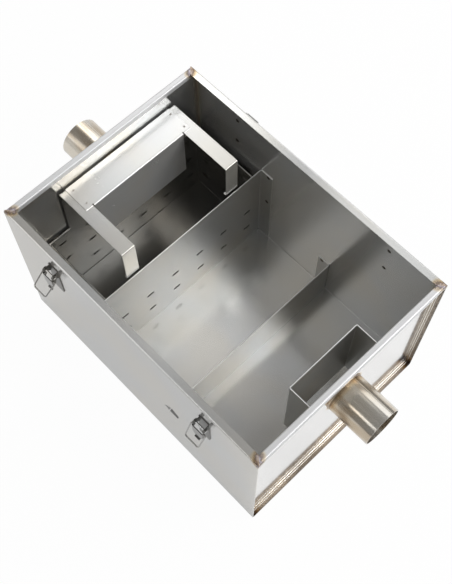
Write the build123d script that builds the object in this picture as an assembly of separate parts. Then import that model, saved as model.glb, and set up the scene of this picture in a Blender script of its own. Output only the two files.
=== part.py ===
from build123d import *
from math import cos, radians, sin
import os

# Grease trap tank in folded stainless sheet, in millimetres.
# X runs from the inlet end to the outlet end, Z is up, and the origin is the middle of the base.
# The near side faces -Y and the far side faces +Y.

# Tank shell
tank_length = 500.0
tank_width = 356.0
tank_height = 299.0
tank_sheet = 1.5
tank_bend = 1.5
side_rim = 12.0
end_recess = 9.0
end_lip = 8.0

# Pipe stubs
pipe_diameter = 63.5
pipe_wall = 1.5
pipe_reach = 62.0
inlet_below_rim = 69.0
outlet_drop = 24.0

# Sheet of the loose and welded inner parts
inner_sheet = 1.2
inner_bend = 1.2
corner_relief = 2.0

# Baffles
slotted_baffle_from_end = 154.0
slotted_baffle_below_outlet = 18.0
slotted_baffle_flange = 25.0
low_baffle_from_end = 189.0
low_baffle_height = 86.0
low_baffle_flange = 22.5

# Box around the outlet opening, open above and below
outlet_box_depth = 43.5
outlet_box_width = 131.0
outlet_box_below = 106.0
outlet_box_above = 52.0

# Basket
basket_width = 306.0
basket_offset = 15.5
basket_below_outlet = 40.0
basket_inlet_gap = 3.3
basket_baffle_gap = 3.8
basket_hem = 12.0
hem_gap = 0.4
foot_diameter = 12.0
foot_height = 1.5
foot_inset = 16.0

# Slots that the basket and the slotted baffle share
slot_length = 14.0
slot_height = 5.0
slot_pitch = 52.6
slots_across = 6
slot_base = 40.0
slot_row_pitch = 50.0
side_slot_pitch = 48.0
side_slots = 3
basket_slot_rows = 3
baffle_slot_rows = 2

# Hood over the inlet, carried on the raised back of the basket
hood_below_rim = 34.0
hood_depth = 48.6
hood_overlap = 12.5
hood_back_lip = 15.0
splash_drop = 97.0
window_width = 100.0
window_below_inlet = 45.0
window_corner = 5.0
notch_width = 2.0
arm_width = 23.5
arms_outer_width = 224.0
arm_end_gap = 2.3
arm_over_baffle = 2.0
arm_foot = 5.0

# Toggle latches, two on each long side
inlet_latch_from_end = 100.0
outlet_latch_from_end = 96.5
latch_plate_width = 20.0
latch_plate_below = 59.0
latch_plate_above = 10.0
latch_plate_corner = 3.0
latch_sheet = 1.2
pivot_below_rim = 37.0
pivot_out = 8.0
pivot_radius = 1.5
pivot_clearance = 0.05
pivot_head_radius = 2.2
pivot_head = 0.6
ear_radius = 4.0
ear_spread = 18.4
ear_foot = 12.0
side_gap = 0.3
lever_crown = 4.4
lever_web_out = 5.7
lever_web_drop = 5.0
lever_waist = 14.0
lever_shoulder = 20.0
lever_length = 35.0
lever_bend = 0.6
lever_tip_width = 9.0
lever_tab_drop = 3.5
lever_tab_out = 1.8
loop_wire = 2.2
loop_out = 3.0
loop_below = 8.0
loop_length = 27.0
loop_root_spread = 27.2
loop_end_spread = 25.0
loop_end_reach = 0.9
loop_root_bend = 1.6
loop_end_bend = 3.5
inlet_loop_angle = -41.0
outlet_loop_angle = -60.0

# Places worked out from the sizes above
half_length = tank_length / 2
half_width = tank_width / 2
floor_top = tank_sheet
inlet_height = tank_height - inlet_below_rim
outlet_height = inlet_height - outlet_drop
inner_half_width = half_width - tank_sheet
panel_outer_face = half_length - end_recess
panel_inner_face = panel_outer_face - tank_sheet
pipe_bore = pipe_diameter / 2 - pipe_wall

slotted_baffle_place = slotted_baffle_from_end - half_length
slotted_baffle_height = outlet_height - slotted_baffle_below_outlet
low_baffle_place = half_length - low_baffle_from_end
outlet_box_bottom = outlet_height - outlet_box_below
outlet_box_top = outlet_height + outlet_box_above

basket_back = -panel_inner_face + basket_inlet_gap
basket_front = slotted_baffle_place - inner_sheet - basket_baffle_gap
basket_bottom = floor_top + foot_height
basket_top = outlet_height - basket_below_outlet
basket_near = basket_offset - basket_width / 2
basket_far = basket_offset + basket_width / 2
basket_middle = (basket_back + basket_front) / 2

hood_top = tank_height - hood_below_rim
window_sill = inlet_height - window_below_inlet
arm_tab_bottom = slotted_baffle_height + arm_over_baffle
arm_top = hood_top - inner_sheet
riser_top = arm_top - inner_sheet
hood_back = basket_back - inner_sheet
hood_front = hood_back + hood_depth + inner_sheet
hood_width = arms_outer_width - 2 * (arm_width - hood_overlap)
splash_width = arms_outer_width - 2 * arm_width

inlet_latch_place = inlet_latch_from_end - half_length
outlet_latch_place = half_length - outlet_latch_from_end
pivot_height = tank_height - pivot_below_rim
latch_plate_bottom = pivot_height - latch_plate_below
latch_plate_top = pivot_height + latch_plate_above
lever_flange_outer = ear_spread / 2 + side_gap + latch_sheet


def folded_sheet(corners, sheet, bend, plane, width):
    """A sheet folded along the centre line through the corners, and as wide as given across the plane."""
    centre_line = FilletPolyline(*corners, radius=bend + sheet / 2)
    section = trace(centre_line, sheet)
    return extrude(plane * section, width / 2, both=True)


def side_view(y):
    """A plane at y whose own axes are X and Z."""
    return Plane(origin=(0, y, 0), x_dir=(1, 0, 0), z_dir=(0, -1, 0))


def end_view(x):
    """A plane at x whose own axes are Y and Z."""
    return Plane(origin=(x, 0, 0), x_dir=(0, 1, 0), z_dir=(1, 0, 0))


def plan_view(z):
    """A plane at z whose own axes are X and Y."""
    return Plane(origin=(0, 0, z))


def block(low, high):
    """A block between its lowest and highest corners."""
    size = [b - a for a, b in zip(low, high)]
    middle = [(a + b) / 2 for a, b in zip(low, high)]
    return Pos(*middle) * Box(*size)


def at_both_sides(shape):
    """A shape and its mirror image across the XZ plane."""
    return shape + mirror(shape, about=Plane.XZ)


def slot_rows(plane, centre, pitch, count, rows):
    """Cutting tools for rows of level slots through a wall that lies in the plane."""
    places = []
    for row in range(rows):
        for index in range(count):
            across = centre + (index - (count - 1) / 2) * pitch
            places.append((across, slot_base + row * slot_row_pitch))
    outline = Sketch() + [Pos(*place) * SlotOverall(slot_length, slot_height) for place in places]
    return extrude(plane * outline, 2 * inner_sheet, both=True)


def rim_corner(beyond_the_seam):
    """The corner of the rim at the outlet end, far side: its share inside or beyond the mitre seam."""
    rim_edge = half_width - side_rim
    seam_end = half_width - tank_sheet - tank_bend
    seam = [(panel_inner_face, rim_edge), (half_length, seam_end)]
    if beyond_the_seam:
        outline = seam + [(half_length, half_width), (panel_inner_face, half_width)]
    else:
        outline = seam + [(half_length, rim_edge)]
    face = make_face(Polyline(*outline, close=True))
    return extrude(plan_view(tank_height - tank_sheet) * face, tank_sheet)


def tank_wrap():
    """Both long sides and the base in one folded sheet, with its rims folded inward."""
    middle = tank_sheet / 2
    side = half_width - middle
    rim = half_width - side_rim
    top = tank_height - middle
    corners = [(-rim, top), (-side, top), (-side, middle), (side, middle), (side, top), (rim, top)]
    shell = folded_sheet(corners, tank_sheet, tank_bend, end_view(0), tank_length)
    mitre = at_both_sides(rim_corner(False))
    return shell - mitre - mirror(mitre, about=Plane.YZ)


def outlet_side_panel(pipe_height):
    """An end panel set in from the outlet end, with its rim and lip and the hole for a pipe."""
    middle = tank_sheet / 2
    upright = panel_outer_face - middle
    top = tank_height - middle
    lip = half_length - middle
    corners = [(upright, floor_top), (upright, top), (lip, top), (lip, tank_height - end_lip)]
    panel = folded_sheet(corners, tank_sheet, tank_bend, side_view(0), 2 * inner_half_width)
    seat = inner_half_width - tank_bend
    upper_fold = block(
        (panel_inner_face, seat, tank_height - tank_sheet - tank_bend),
        (half_length, half_width, tank_height),
    )
    lower_fold = block(
        (panel_inner_face, seat, 0),
        (half_length, half_width, floor_top + tank_bend),
    )
    pipe_mouth = end_view(panel_outer_face) * Pos(0, pipe_height) * Circle(pipe_bore)
    pipe_hole = extrude(pipe_mouth, tank_sheet, both=True)
    return panel - at_both_sides(rim_corner(True) + upper_fold + lower_fold) - pipe_hole


def inlet_end_panel():
    """The end panel on the inlet side."""
    return mirror(outlet_side_panel(inlet_height), about=Plane.YZ)


def outlet_end_panel():
    """The end panel on the outlet side."""
    return outlet_side_panel(outlet_height)


def pipe_stub(direction, height):
    """A round tube butted on the outside of an end panel."""
    root = Plane(origin=(direction * panel_outer_face, 0, height), z_dir=(direction, 0, 0))
    ring = Circle(pipe_diameter / 2) - Circle(pipe_bore)
    return extrude(root * ring, end_recess + pipe_reach)


def outlet_box():
    """Three-sided box on the outlet panel that makes the water rise from below."""
    middle = inner_sheet / 2
    front = panel_inner_face - outlet_box_depth + middle
    side = outlet_box_width / 2 - middle
    corners = [(panel_inner_face, -side), (front, -side), (front, side), (panel_inner_face, side)]
    height = outlet_box_top - outlet_box_bottom
    return folded_sheet(corners, inner_sheet, inner_bend, plan_view(outlet_box_bottom + height / 2), height)


def cross_plate(place, height, flange):
    """A plate across the tank whose side flanges lie on the tank walls; flange is signed along X."""
    middle = inner_sheet / 2
    side = inner_half_width - middle
    tip = place + flange
    corners = [(tip, -side), (place, -side), (place, side), (tip, side)]
    tall = height - floor_top
    plate = folded_sheet(corners, inner_sheet, inner_bend, plan_view(floor_top + tall / 2), tall)
    low = min(place, tip) - inner_sheet
    high = max(place, tip) + inner_sheet
    relief = block(
        (low, inner_half_width - corner_relief, floor_top),
        (high, inner_half_width, floor_top + corner_relief),
    )
    return plate - at_both_sides(relief)


def slotted_baffle():
    """The taller baffle beside the basket, with two rows of slots."""
    place = slotted_baffle_place - inner_sheet / 2
    slots = slot_rows(end_view(place), basket_offset, slot_pitch, slots_across, baffle_slot_rows)
    return cross_plate(place, slotted_baffle_height, slotted_baffle_flange) - slots


def low_baffle():
    """The lower, plain baffle before the outlet."""
    return cross_plate(low_baffle_place, low_baffle_height, -low_baffle_flange)


def basket_tray():
    """The open tray of the basket: a floor and four walls, with folded edges below."""
    low = (basket_back, basket_near, basket_bottom)
    high = (basket_front, basket_far, basket_top - inner_sheet)
    outside = block(low, high)
    hollow = block(
        [value + inner_sheet for value in low],
        (basket_front - inner_sheet, basket_far - inner_sheet, basket_top),
    )
    outside = fillet(outside.faces().sort_by(Axis.Z)[0].edges(), inner_bend + inner_sheet)
    hollow = fillet(hollow.faces().sort_by(Axis.Z)[0].edges(), inner_bend)
    return outside - hollow


def hem(length):
    """A wall's top edge folded back inside it: along Y, with the wall's outer face at x = 0."""
    middle = inner_sheet / 2
    inside = middle + inner_sheet + hem_gap
    crown = basket_top - middle
    start = (middle, basket_top - 2 * inner_sheet)
    turn = (inside - middle) / 2
    rise = Line(start, (middle, crown - turn))
    bend = ThreePointArc(rise @ 1, ((middle + inside) / 2, crown), (inside, crown - turn))
    fall = Line(bend @ 1, (inside, basket_top - basket_hem))
    return extrude(side_view(0) * trace(Curve() + [rise, bend, fall], inner_sheet), length / 2, both=True)


def basket_hems():
    """The hems of the four walls, with the inlet wall's hem left out behind the hood."""
    corner_gap = 2 * inner_sheet + hem_gap
    riser_near = basket_offset - arms_outer_width / 2
    riser_far = basket_offset + arms_outer_width / 2
    long_hem = hem(basket_width)
    short_hem = hem(basket_front - basket_back - 2 * corner_gap)
    near_piece = hem(riser_near - basket_near)
    far_piece = hem(basket_far - riser_far)
    inlet = Pos(basket_back, (basket_near + riser_near) / 2, 0) * near_piece
    inlet += Pos(basket_back, (basket_far + riser_far) / 2, 0) * far_piece
    outlet = Pos(basket_front, basket_offset, 0) * Rot(0, 0, 180) * long_hem
    near = Pos(basket_middle, basket_near, 0) * Rot(0, 0, 90) * short_hem
    far = Pos(basket_middle, basket_far, 0) * Rot(0, 0, -90) * short_hem
    return inlet + outlet + near + far


def hood_window():
    """Cutting tool for the way in from the pipe, from the sill up to the top of the raised back."""
    tall = riser_top - window_sill
    corners = RectangleRounded(window_width, 2 * tall, window_corner)
    outline = corners & Rectangle(window_width, tall, align=(Align.CENTER, Align.MAX))
    return extrude(end_view(hood_back) * Pos(0, riser_top) * outline, 2 * inner_sheet, both=True)


def basket_riser():
    """The inlet wall of the basket carried up behind the hood."""
    low = (basket_back, basket_offset - arms_outer_width / 2, basket_top - 2 * inner_sheet)
    high = (basket_back + inner_sheet, basket_offset + arms_outer_width / 2, riser_top)
    return block(low, high) - hood_window()


def basket_feet():
    """Places and shapes of the four pressed feet: the outside bosses and the hollows in them."""
    bosses = Part()
    hollows = Part()
    radius = foot_diameter / 2
    hanging = (Align.CENTER, Align.CENTER, Align.MAX)
    for x in (basket_back + foot_inset, basket_front - foot_inset):
        for y in (-slot_pitch, slot_pitch):
            centre = Pos(x, basket_offset - slot_pitch / 2 + y, basket_bottom)
            bosses += centre * Cylinder(radius, foot_height, align=hanging)
            hollows += centre * Cylinder(radius - inner_sheet, 2 * foot_height)
    return bosses, hollows


def basket():
    """The lift-out basket: slotted walls, hems, pressed feet and the raised back that carries the hood."""
    bosses, hollows = basket_feet()
    body = basket_tray() + basket_hems() + basket_riser() + bosses
    across = slot_rows(end_view(basket_back), basket_offset, slot_pitch, slots_across, basket_slot_rows)
    across += slot_rows(end_view(basket_front), basket_offset, slot_pitch, slots_across, basket_slot_rows)
    along = slot_rows(side_view(basket_near), basket_middle, side_slot_pitch, side_slots, basket_slot_rows)
    along += slot_rows(side_view(basket_far), basket_middle, side_slot_pitch, side_slots, basket_slot_rows)
    return body - (across + along) - Pos(0, 0, inner_sheet) * hollows


def hood_panel():
    """The wide plate of the hood, with a lip behind the basket's raised back and a splash panel in front."""
    middle = inner_sheet / 2
    back = hood_back + middle
    front = hood_front - middle
    top = hood_top - middle
    corners = [(back, hood_top - hood_back_lip), (back, top), (front, top), (front, hood_top - splash_drop)]
    panel = folded_sheet(corners, inner_sheet, inner_bend, side_view(basket_offset), hood_width)
    for side in (-1, 1):
        inner = basket_offset + side * (splash_width / 2 - notch_width)
        outer = basket_offset + side * arms_outer_width / 2
        low = (hood_front - 2 * inner_sheet - inner_bend, min(inner, outer), hood_top - splash_drop)
        high = (hood_front + inner_sheet, max(inner, outer), arm_top)
        panel -= block(low, high)
        notch_low = (low[0], min(inner, inner + side * notch_width), low[2])
        notch_high = (high[0], max(inner, inner + side * notch_width), hood_top)
        panel -= block(notch_low, notch_high)
    return panel - hood_window()


def hood_arm(side):
    """A strap under the edge of the hood, out to the slotted baffle, with its end turned down."""
    middle = inner_sheet / 2
    top = arm_top - middle
    end = slotted_baffle_place - inner_sheet - arm_end_gap - middle
    foot = arm_tab_bottom + middle
    corners = [(basket_back + inner_bend, top), (end, top), (end, foot), (end - arm_foot, foot)]
    place = basket_offset + side * (arms_outer_width - arm_width) / 2
    return folded_sheet(corners, inner_sheet, inner_bend, side_view(place), arm_width)


def pivot_hole(radius, across):
    """Cutting tool along the lever's axis."""
    return Pos(0, -pivot_out, pivot_height) * Rot(0, 90, 0) * Cylinder(radius, across)


def latch_base():
    """The plate on the tank wall with the two ears that hold the lever; the wall is the plane y = 0."""
    tall = latch_plate_top - latch_plate_bottom
    outline = RectangleRounded(latch_plate_width, tall, latch_plate_corner)
    plate = extrude(side_view(0) * Pos(0, latch_plate_bottom + tall / 2) * outline, latch_sheet)
    ear_outline = Polyline(
        (-latch_sheet / 2, pivot_height - ear_foot),
        (-latch_sheet / 2, pivot_height + ear_radius),
        (-pivot_out, pivot_height + ear_radius),
        (-pivot_out, pivot_height - ear_radius),
        close=True,
    )
    ear_face = make_face(ear_outline) + Pos(-pivot_out, pivot_height) * Circle(ear_radius)
    ears = extrude(end_view(0) * ear_face, ear_spread / 2, both=True)
    ears -= extrude(end_view(0) * ear_face, ear_spread / 2 - latch_sheet, both=True)
    return plate + ears - pivot_hole(pivot_radius + pivot_clearance, 2 * ear_spread)


def latch_pin():
    """The riveted pivot pin through the ears and the lever."""
    shank = lever_flange_outer + side_gap
    pin = pivot_hole(pivot_radius, 2 * shank)
    head = pivot_hole(pivot_head_radius, pivot_head)
    for side in (-1, 1):
        pin += Pos(side * (shank + pivot_head / 2), 0, 0) * head
    return pin


def latch_lever():
    """The folded lever, closed against the base: flanges at the pivot and a web that tapers to a finger tab."""
    middle = latch_sheet / 2
    web = lever_web_out - middle
    web_inside = lever_web_out - latch_sheet
    side = lever_flange_outer - middle
    side_inside = lever_flange_outer - latch_sheet
    channel = folded_sheet(
        [(-side, lever_crown), (-side, -web), (side, -web), (side, lever_crown)],
        latch_sheet,
        lever_bend,
        plan_view(0),
        2 * lever_length,
    )
    side_outline = Polyline(
        (-lever_crown, 0),
        (-lever_web_out, -lever_web_drop),
        (-lever_web_out, -lever_length),
        (-web_inside, -lever_length),
        (-web_inside, -lever_shoulder),
        (0, -lever_waist),
        (lever_crown, 0),
        close=True,
    )
    side_shape = make_face(side_outline) + Circle(lever_crown)
    front_outline = Polyline(
        (-lever_flange_outer, lever_crown),
        (-lever_flange_outer, -lever_shoulder),
        (-lever_tip_width / 2, -lever_length),
        (lever_tip_width / 2, -lever_length),
        (lever_flange_outer, -lever_shoulder),
        (lever_flange_outer, lever_crown),
        close=True,
    )
    lever = channel & extrude(end_view(0) * side_shape, lever_flange_outer, both=True)
    lever &= extrude(side_view(0) * make_face(front_outline), lever_web_out, both=True)
    lever -= block((-side_inside, -lever_web_out, -lever_web_drop), (side_inside, 0, lever_crown))
    tab = folded_sheet(
        [
            (-web, -lever_length),
            (-web, -lever_length - lever_tab_drop / 2),
            (-web - lever_tab_out, -lever_length - lever_tab_drop),
        ],
        latch_sheet,
        lever_bend,
        end_view(0),
        lever_tip_width,
    )
    lever = Pos(0, -pivot_out, pivot_height) * (lever + tab)
    wire_hole = Pos(0, -loop_out, -loop_below) * pivot_hole(loop_wire / 2 + pivot_clearance, 2 * ear_spread)
    return lever - pivot_hole(pivot_radius + pivot_clearance, 2 * ear_spread) - wire_hole


def latch_loop(angle):
    """The bent wire loop at an angle above straight out from the wall, its ends held in the lever."""
    root = loop_root_spread / 2
    end = loop_end_spread / 2
    held = lever_flange_outer - latch_sheet - loop_end_reach
    corners = [(-held, 0), (-root, 0), (-end, loop_length), (end, loop_length), (root, 0), (held, 0)]
    bends = [loop_root_bend, loop_end_bend, loop_end_bend, loop_root_bend]
    out = (0, -cos(radians(angle)), sin(radians(angle)))
    origin = (0, -pivot_out - loop_out, pivot_height - loop_below)
    loop_plane = Plane(origin=origin, x_dir=(1, 0, 0), z_dir=Vector(1, 0, 0).cross(Vector(*out)))
    path = loop_plane * FilletPolyline(*corners, radius=bends)
    section = Plane(origin=path @ 0, z_dir=path % 0) * Circle(loop_wire / 2)
    return sweep(section, path)


def latch_nodes():
    """The parts of the four latches at their places; the far side is the near side turned half round."""
    parts = {}
    for side_name, end_name, x, angle in (
        ("near", "inlet", inlet_latch_place, inlet_loop_angle),
        ("near", "outlet", outlet_latch_place, outlet_loop_angle),
        ("far", "inlet", inlet_latch_place, inlet_loop_angle),
        ("far", "outlet", outlet_latch_place, outlet_loop_angle),
    ):
        if side_name == "near":
            place = Pos(x, -half_width, 0)
        else:
            place = Pos(x, half_width, 0) * Rot(0, 0, 180)
        name = f"{side_name}_{end_name}_latch"
        parts[f"{name}_base"] = place * latch_base()
        parts[f"{name}_pin"] = place * latch_pin()
        parts[f"{name}_lever"] = place * latch_lever()
        parts[f"{name}_loop"] = place * latch_loop(angle)
    return parts


nodes = {
    "tank_wrap": tank_wrap(),
    "inlet_end_panel": inlet_end_panel(),
    "outlet_end_panel": outlet_end_panel(),
    "inlet_pipe": pipe_stub(-1, inlet_height),
    "outlet_pipe": pipe_stub(1, outlet_height),
    "outlet_box": outlet_box(),
    "slotted_baffle": slotted_baffle(),
    "low_baffle": low_baffle(),
    "basket": basket(),
    "hood_panel": hood_panel(),
    "near_arm": hood_arm(-1),
    "far_arm": hood_arm(1),
}
nodes.update(latch_nodes())

os.makedirs("parts", exist_ok=True)
for name, shape in nodes.items():
    export_step(shape, f"parts/{name}.step")
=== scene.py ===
"""Looks of an open stainless grease trap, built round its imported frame."""

import logging
import math
from collections.abc import Mapping, Sequence
from dataclasses import dataclass, field
from enum import Enum
from typing import Any

import bmesh
import bpy
from mathutils import Matrix, Vector


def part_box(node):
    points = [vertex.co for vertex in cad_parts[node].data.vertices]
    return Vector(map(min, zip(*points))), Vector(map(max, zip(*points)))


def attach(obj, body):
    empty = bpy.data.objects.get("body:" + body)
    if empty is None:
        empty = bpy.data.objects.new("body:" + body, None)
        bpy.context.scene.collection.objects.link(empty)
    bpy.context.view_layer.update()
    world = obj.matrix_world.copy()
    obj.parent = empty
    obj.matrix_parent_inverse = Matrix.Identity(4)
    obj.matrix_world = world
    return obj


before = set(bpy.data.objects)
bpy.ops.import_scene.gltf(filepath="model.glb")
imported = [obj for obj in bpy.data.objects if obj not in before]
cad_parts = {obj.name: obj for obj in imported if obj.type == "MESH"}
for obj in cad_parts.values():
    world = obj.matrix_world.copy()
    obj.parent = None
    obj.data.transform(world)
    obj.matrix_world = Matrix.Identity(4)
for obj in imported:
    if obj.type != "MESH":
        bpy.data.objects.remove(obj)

LOG = logging.getLogger("grease_trap")
MM = 0.001

Number = int | float
Colour = tuple[float, float, float]
Point = tuple[float, float, float]


class Grain(Enum):
    """How fast a sheet's fine lines change along X, Y and Z, as a share of their pitch."""

    ACROSS_THE_TANK = (1.0, 0.015, 0.015)
    ALONG_THE_FOLDS = (1.0, 0.015, 1.0)
    ROUND_A_TUBE = (1.0, 0.03, 0.03)
    EVEN = (1.0, 1.0, 1.0)


class Value:
    """One output socket of a node tree, so that Python's operators add Math nodes."""

    def __init__(self, graph: "Graph", socket: bpy.types.NodeSocket | None) -> None:
        """Wraps a socket.

        Args:
            graph: the tree that the socket belongs to.
            socket: the output socket, or None for a node that has none.
        """
        self.graph = graph
        self.socket = socket

    def _math(self, operation: str, *others: Any, swap: bool = False, clamp: bool = False) -> "Value":
        """Adds one Math node.

        Args:
            operation: the Math node's operation.
            *others: the other values or numbers.
            swap: puts this value second.
            clamp: keeps the result between 0 and 1.

        Returns:
            The node's result.
        """
        terms = [self, *others]
        if swap:
            terms.reverse()
        settings = {"operation": operation, "use_clamp": clamp}
        return self.graph.node("ShaderNodeMath", settings, dict(enumerate(terms)))

    def __add__(self, other: Any) -> "Value":
        """This plus another."""
        return self._math("ADD", other)

    def __radd__(self, other: Any) -> "Value":
        """Another plus this."""
        return self._math("ADD", other, swap=True)

    def __sub__(self, other: Any) -> "Value":
        """This less another."""
        return self._math("SUBTRACT", other)

    def __rsub__(self, other: Any) -> "Value":
        """Another less this."""
        return self._math("SUBTRACT", other, swap=True)

    def __mul__(self, other: Any) -> "Value":
        """This times another."""
        return self._math("MULTIPLY", other)

    def __rmul__(self, other: Any) -> "Value":
        """Another times this."""
        return self._math("MULTIPLY", other, swap=True)

    def __truediv__(self, other: Any) -> "Value":
        """This over another."""
        return self._math("DIVIDE", other)

    def __abs__(self) -> "Value":
        """The size of this without its sign."""
        return self._math("ABSOLUTE")

    def most(self, other: Any) -> "Value":
        """The larger of this and another."""
        return self._math("MAXIMUM", other)

    def sine(self) -> "Value":
        """The sine of this, in radians."""
        return self._math("SINE")

    def clamped(self) -> "Value":
        """This, kept between 0 and 1."""
        return self._math("ADD", 0.0, clamp=True)

    def ramp(self, start: Number, end: Number) -> "Value":
        """A smooth step.

        Args:
            start: where the result is 0.
            end: where the result is 1.

        Returns:
            A value from 0 to 1.
        """
        sockets = {"Value": self, "From Min": start, "From Max": end}
        return self.graph.node("ShaderNodeMapRange", {"interpolation_type": "SMOOTHSTEP"}, sockets)


class Graph:
    """A node tree and the one method that adds nodes to it."""

    def __init__(self, tree: bpy.types.NodeTree) -> None:
        """Clears a tree and keeps it.

        Args:
            tree: the shader or geometry tree to draw in.
        """
        self.tree = tree
        self.tree.nodes.clear()

    def node(
        self,
        kind: str,
        settings: Mapping[str, Any] | None = None,
        sockets: Mapping[str | int, Any] | None = None,
        output: str | int = 0,
    ) -> Value:
        """Adds one node.

        Args:
            kind: the node's type.
            settings: attributes that are set first; "stops" are a colour ramp's (place, colour) pairs.
            sockets: values or Values for the node's inputs, by name or number.
            output: which of its outputs is wanted.

        Returns:
            The wanted output.
        """
        made = self.tree.nodes.new(kind)
        for key, value in (settings or {}).items():
            if key == "stops":
                self._stops(made.color_ramp, value)
            else:
                setattr(made, key, value)
        for key, value in (sockets or {}).items():
            if isinstance(value, Value):
                self.tree.links.new(value.socket, made.inputs[key])
            else:
                made.inputs[key].default_value = value
        return Value(self, made.outputs[output] if made.outputs else None)

    def other(self, value: Value, output: str | int) -> Value:
        """Another output of the node that a value comes from."""
        return Value(self, value.socket.node.outputs[output])

    @staticmethod
    def _stops(ramp: bpy.types.ColorRamp, stops: Sequence[tuple[float, Colour]]) -> None:
        """Sets a colour ramp.

        Args:
            ramp: the ramp.
            stops: its places and colours, at least two.
        """
        while len(ramp.elements) < len(stops):
            ramp.elements.new(0.5)
        for element, (place, colour) in zip(ramp.elements, stops):
            element.position = place
            element.color = (*colour, 1.0)

    def vector(self, x: Any, y: Any, z: Any) -> Value:
        """Three values as one vector."""
        return self.node("ShaderNodeCombineXYZ", None, {0: x, 1: y, 2: z})

    def length(self, x: Any, y: Any, z: Any) -> Value:
        """The length of a vector of three values."""
        return self.node("ShaderNodeVectorMath", {"operation": "LENGTH"}, {0: self.vector(x, y, z)}, "Value")

    def split(self, vector: Value) -> tuple[Value, Value, Value]:
        """A vector's X, Y and Z."""
        first = self.node("ShaderNodeSeparateXYZ", None, {0: vector})
        return first, self.other(first, 1), self.other(first, 2)

    def noise(self, vector: Value, scale: float, detail: float = 2.0, roughness: float = 0.5) -> Value:
        """Noise from 0 to 1.

        Args:
            vector: where it is read.
            scale: features in a metre.
            detail: octaves.
            roughness: strength of the finer octaves.

        Returns:
            The noise.
        """
        sockets = {"Vector": vector, "Scale": scale, "Detail": detail, "Roughness": roughness}
        return self.node("ShaderNodeTexNoise", None, sockets)

    def mixed(self, factor: Value, first: Any, second: Any) -> Value:
        """Two colours mixed.

        Args:
            factor: 0 for the first and 1 for the second.
            first: the first colour, or a Value.
            second: the second colour, or a Value.

        Returns:
            The mixed colour.
        """
        colours = [value if isinstance(value, Value) else (*value, 1.0) for value in (first, second)]
        sockets = {0: factor, 6: colours[0], 7: colours[1]}
        return self.node("ShaderNodeMix", {"data_type": "RGBA"}, sockets, 2)

    def shaded(self, colour: Value, shade: Value) -> Value:
        """A colour times a value."""
        return self.node("ShaderNodeVectorMath", {"operation": "SCALE"}, {0: colour, "Scale": shade})

    def filtered(self, colour: Value, other: Value) -> Value:
        """A colour times a colour."""
        return self.node("ShaderNodeVectorMath", {"operation": "MULTIPLY"}, {0: colour, 1: other})

    def principled(self, sockets: Mapping[str, Any]) -> None:
        """Ends a material with one Principled shader."""
        shader = self.node("ShaderNodeBsdfPrincipled", None, sockets)
        self.node("ShaderNodeOutputMaterial", None, {"Surface": shader})


def blank_material(name: str) -> tuple[bpy.types.Material, Graph, Value]:
    """Starts a finish.

    Args:
        name: the material's name.

    Returns:
        The material, its tree and the point on the piece.
    """
    made = bpy.data.materials.new(name)
    made.use_nodes = True
    graph = Graph(made.node_tree)
    return made, graph, graph.node("ShaderNodeTexCoord", output="Object")


@dataclass(frozen=True)
class HeatSeam:
    """A straight weld, alike in all corners of the tank, and how far heat tint reaches from it."""

    start: Point
    end: Point
    reach: float
    strength: float = 1.0
    mottle: float = 0.0
    skin: float | None = None
    dulling: float = 0.4

    def heat(self, graph: Graph, x: Value, y: Value, z: Value) -> Value:
        """Heat at a point.

        Args:
            graph: the tree.
            x: place along X.
            y: place along Y.
            z: place along Z.

        Returns:
            The heat, from 0 where the metal stayed cool.
        """
        run = Vector(self.end) - Vector(self.start)
        offsets = [value - place for value, place in zip((abs(x), abs(y), z), self.start)]
        share = offsets[0] * (run.x / run.length_squared)
        share = share + offsets[1] * (run.y / run.length_squared)
        share = (share + offsets[2] * (run.z / run.length_squared)).clamped()
        away = [offset - share * step for offset, step in zip(offsets, run)]
        heat = (1.0 - graph.length(*away) / self.reach).clamped() * self.strength
        if self.skin is None:
            return heat
        return heat * (1.0 - abs(y).ramp(self.skin, self.skin + 0.2 * MM))


@dataclass(frozen=True)
class HeatRing:
    """The round weld at a pipe's root, and how far heat tint reaches from it."""

    middle: Point
    radius: float
    reach: float
    strength: float = 1.0
    mottle: float = 0.0
    dulling: float = 0.15

    def heat(self, graph: Graph, x: Value, y: Value, z: Value) -> Value:
        """Heat at a point.

        Args:
            graph: the tree.
            x: place along X.
            y: place along Y.
            z: place along Z.

        Returns:
            The heat, from 0 where the metal stayed cool.
        """
        out = graph.length(0.0, y - self.middle[1], z - self.middle[2]) - self.radius
        distance = graph.length(x - self.middle[0], out, 0.0)
        return (1.0 - distance / self.reach).clamped() * self.strength


HEAT_COLOURS = (
    (0.0, (1.0, 1.0, 1.0)),
    (0.22, (0.98, 0.91, 0.80)),
    (0.40, (0.82, 0.69, 0.52)),
    (0.55, (0.52, 0.43, 0.34)),
    (0.70, (0.33, 0.28, 0.24)),
    (0.82, (0.34, 0.27, 0.29)),
    (0.90, (0.52, 0.45, 0.50)),
    (1.0, (0.82, 0.77, 0.82)),
)


@dataclass(frozen=True)
class WorkedArea:
    """The colour and roughness of a part of a sheet that was polished, brushed or cut."""

    colour: Colour
    roughness: float


@dataclass
class Skin:
    """A sheet finish while it is drawn: its tree, the point on the piece, and how it looks there."""

    graph: Graph
    vector: Value
    place: tuple[Value, Value, Value]
    base: Value
    rough: Value
    height: Value

    def work(self, share: Value, area: WorkedArea) -> None:
        """Lays a worked area over the skin."""
        self.base = self.graph.mixed(share, self.base, area.colour)
        self.rough = self.rough * (1.0 - share) + area.roughness * share


MIRROR = WorkedArea((0.90, 0.895, 0.885), 0.09)
SATIN = WorkedArea((0.72, 0.72, 0.725), 0.36)
# Cut edge: a real rough cut face, made much paler than the plates as a painted highlight along their top
# edges.
CUT_FACE_AND_HIGHLIGHT = WorkedArea((0.92, 0.92, 0.91), 0.42)
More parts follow.
